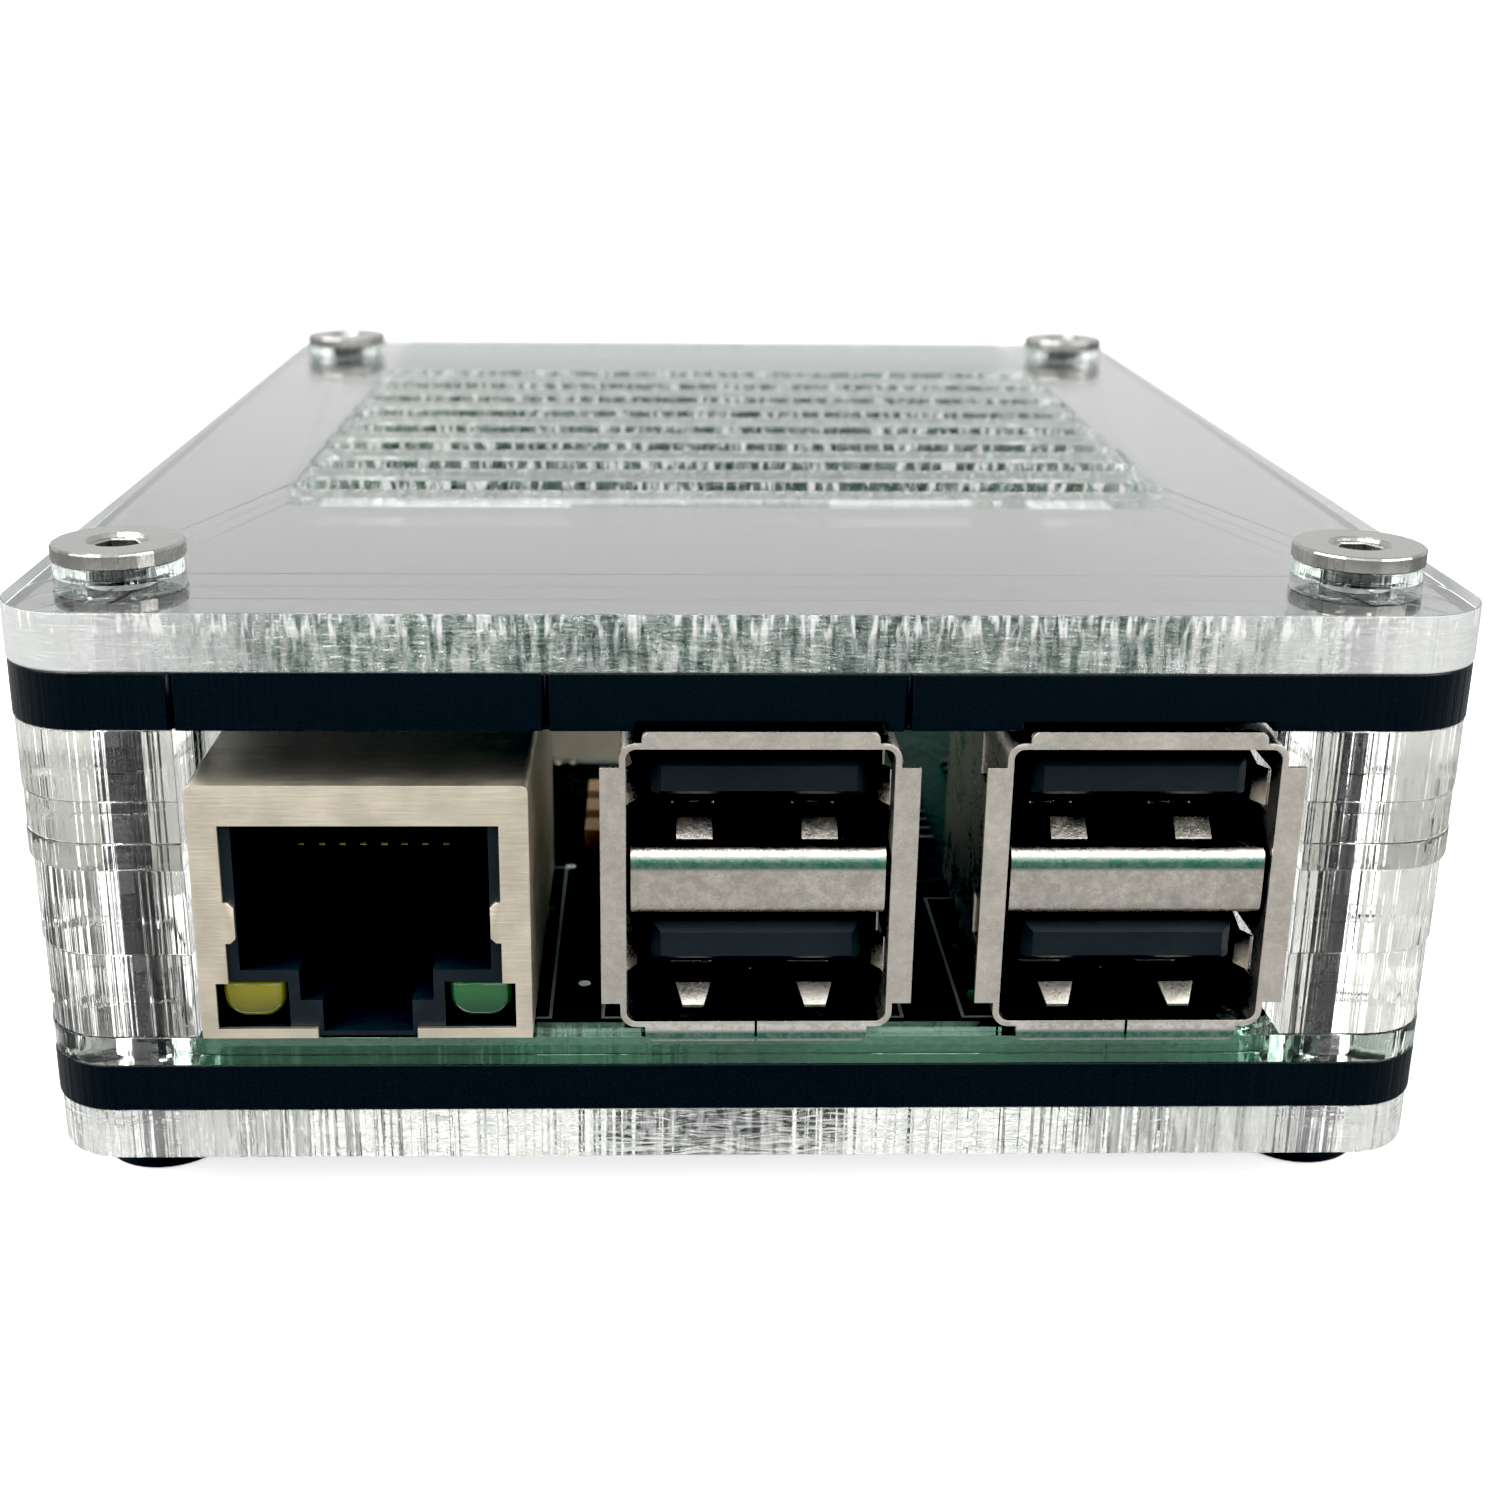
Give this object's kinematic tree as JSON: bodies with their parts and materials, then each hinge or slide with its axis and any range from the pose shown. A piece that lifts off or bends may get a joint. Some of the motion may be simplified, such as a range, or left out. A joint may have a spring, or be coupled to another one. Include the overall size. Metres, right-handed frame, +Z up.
{
  "type": "single board computer",
  "caption": "Credit-card-sized computer board in a clear and black stacked-sheet case, with network jack, USB stacks and vented lid.",
  "frame": {"origin": "centre of the footprint on the plane the four feet rest on", "axes": "+Z up through the stack, -Y towards the network and USB end, -X towards the power and display side"},
  "size_m": [0.0694, 0.0914, 0.0327],
  "materials": {
    "clear_acrylic": "clear cast sheet with laser-cut edges",
    "clear_acrylic_top": "clear cast sheet with laser-cut edges",
    "black_acrylic": "glossy black cast sheet",
    "screw_steel": "stainless steel",
    "clear_nylon": "translucent washer",
    "black_nylon": "moulded, matt",
    "solder_mask": "green solder mask",
    "chip_substrate": "laminate",
    "heat_spreader": "satin metal lid",
    "chip_black": "moulded epoxy",
    "tin_plate": "satin nickel plate",
    "ceramic_tan": "ceramic with tinned ends",
    "inductor_grey": "ferrite",
    "led_red": "clear lens",
    "led_green": "clear lens",
    "black_plastic": "moulded",
    "gold_plate": "thin gold plate",
    "lens_yellow": "translucent lens",
    "lens_green": "translucent lens",
    "connector_cream": "moulded"
  },
  "bodies": {
    "board_and_case": {"top_plate": "clear_acrylic_top", "upper_frame": "black_acrylic", "wall_upper": "clear_acrylic", "wall_spacer": "clear_acrylic", "wall_thin": "clear_acrylic", "wall_middle": "clear_acrylic", "wall_middle_corner": "clear_acrylic", "wall_lower": "clear_acrylic", "wall_lower_corner": "clear_acrylic", "board_nest": "clear_acrylic", "lower_frame": "black_acrylic", "bottom_plate": "clear_acrylic", "case_screws": "screw_steel", "screw_washers": "clear_nylon", "foot_nuts": "black_nylon", "circuit_board": "solder_mask", "soc_substrate": "chip_substrate", "soc_heat_spreader": "heat_spreader", "memory_chip": "chip_black", "network_chip": "chip_black", "power_chip": "chip_black", "wireless_shield": "tin_plate", "ceramic_capacitors": "ceramic_tan", "chip_resistors": "chip_black", "power_inductors": "inductor_grey", "crystal_cans": "tin_plate", "power_protection": "chip_black", "status_led_red": "led_red", "status_led_green": "led_green", "gpio_header_base": "black_plastic", "poe_header_base": "black_plastic", "header_pins": "gold_plate", "ethernet_shield": "tin_plate", "ethernet_housing": "black_plastic", "ethernet_contacts": "gold_plate", "ethernet_led_yellow": "lens_yellow", "ethernet_led_green": "lens_green", "usb_shell_left": "tin_plate", "usb_shell_right": "tin_plate", "usb_divider_left": "tin_plate", "usb_divider_right": "tin_plate", "usb_insert_left": "black_plastic", "usb_insert_right": "black_plastic", "usb_contacts": "gold_plate", "hdmi_shell": "tin_plate", "hdmi_insert": "black_plastic", "hdmi_contacts": "gold_plate", "power_port_shell": "tin_plate", "power_port_insert": "black_plastic", "audio_jack": "black_plastic", "camera_connector": "connector_cream", "display_connector": "connector_cream", "ribbon_contacts": "tin_plate", "card_slot_shield": "tin_plate", "card_slot_base": "black_plastic"},
    "card": {"memory_card": "black_plastic"},
    "camera_latch_body": {"camera_latch": "black_plastic"},
    "display_latch_body": {"display_latch": "black_plastic"}
  },
  "joints": [
    {"name": "card_slide", "type": "slide", "parent": "board_and_case", "child": "card", "axis": [0, 1, 0], "range_m": [0, 0.018]},
    {"name": "camera_latch_lift", "type": "slide", "parent": "board_and_case", "child": "camera_latch_body", "axis": [0, 0, 1], "range_m": [0, 0.0012]},
    {"name": "display_latch_lift", "type": "slide", "parent": "board_and_case", "child": "display_latch_body", "axis": [0, 0, 1], "range_m": [0, 0.0012]}
  ]
}
